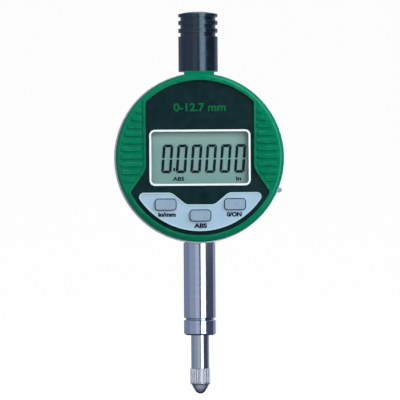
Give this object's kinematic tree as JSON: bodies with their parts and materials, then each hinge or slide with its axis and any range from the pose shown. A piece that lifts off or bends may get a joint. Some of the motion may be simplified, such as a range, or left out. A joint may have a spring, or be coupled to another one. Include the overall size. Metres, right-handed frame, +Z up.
{
  "type": "digital dial indicator",
  "caption": "Electronic plunger indicator with a round green face, display, keys, clamping stem, lift cap and lug back.",
  "frame": {"origin": "on the spindle axis, half way along the length of the stem that is clamped", "axes": "+Z up along the spindle, away from the contact point; the face looks towards -Y; +X is to the right as seen from the front"},
  "size_m": [0.0426, 0.0335, 0.0961],
  "materials": {
    "case_metal": "satin",
    "shell_green": "satin moulded",
    "plate_dark": "satin",
    "frame_white": "gloss",
    "window_clear": "clear",
    "lcd_grey": "satin",
    "lcd_ink": "matte",
    "holder_white": "matte",
    "rubber_dark": "matte",
    "board_green": "satin",
    "chip_black": "matte",
    "dome_steel": "satin",
    "screw_steel": "satin",
    "panel_blue": "satin",
    "key_grey": "satin",
    "stem_steel": "ground",
    "contact_steel": "satin",
    "ball_carbide": "polished",
    "bush_bronze": "satin",
    "cap_black": "satin",
    "spring_steel": "satin",
    "contact_leaf": "satin",
    "tray_blue": "satin",
    "cell_steel": "polished",
    "carrier_alu": "satin",
    "strip_green": "satin"
  },
  "bodies": {
    "housing": {"rear_case": "case_metal", "front_shell": "shell_green", "face_plate": "plate_dark", "display_frame": "frame_white", "display_window": "window_clear", "lcd_panel": "lcd_grey", "lcd_segments": "lcd_ink", "lcd_holder": "holder_white", "zebra_strips": "rubber_dark", "main_board": "board_green", "board_parts": "chip_black", "snap_domes": "dome_steel", "board_screws": "screw_steel", "keypad_panel": "panel_blue", "shell_screws": "screw_steel", "lug_back": "case_metal", "lug_back_screws": "screw_steel", "stem": "stem_steel", "lower_bush": "bush_bronze", "neck_tube": "stem_steel", "upper_bush": "bush_bronze", "stop_bumper": "rubber_dark", "guide_rod": "stem_steel", "return_spring": "spring_steel", "contact_plus": "contact_leaf", "contact_minus": "contact_leaf"},
    "plunger": {"spindle": "stem_steel", "contact_point": "contact_steel", "contact_ball": "ball_carbide", "lift_cap": "cap_black", "scale_carrier": "carrier_alu", "scale_strip": "strip_green", "carrier_screws": "screw_steel"},
    "key_in_mm": {"button_in_mm": "key_grey"},
    "key_abs": {"button_abs": "key_grey"},
    "key_on": {"button_on": "key_grey"},
    "tray": {"battery_tray": "tray_blue", "battery_cell": "cell_steel"}
  },
  "joints": [
    {"name": "spindle_slide", "type": "slide", "parent": "housing", "child": "plunger", "axis": [0, 0, 1], "range_m": [0, 0.0127], "stiffness_N_per_m": 40, "springref_m": -0.02, "deforming": ["return_spring"]},
    {"name": "key_in_mm_press", "type": "slide", "parent": "housing", "child": "key_in_mm", "axis": [0, 1, 0], "range_m": [0, 0.0004], "stiffness_N_per_m": 500, "springref_m": -0.0004},
    {"name": "key_abs_press", "type": "slide", "parent": "housing", "child": "key_abs", "axis": [0, 1, 0], "range_m": [0, 0.0004], "stiffness_N_per_m": 500, "springref_m": -0.0004},
    {"name": "key_on_press", "type": "slide", "parent": "housing", "child": "key_on", "axis": [0, 1, 0], "range_m": [0, 0.0004], "stiffness_N_per_m": 500, "springref_m": -0.0004},
    {"name": "tray_slide", "type": "slide", "parent": "housing", "child": "tray", "axis": [1, 0, 0], "range_m": [0, 0.0135]}
  ]
}
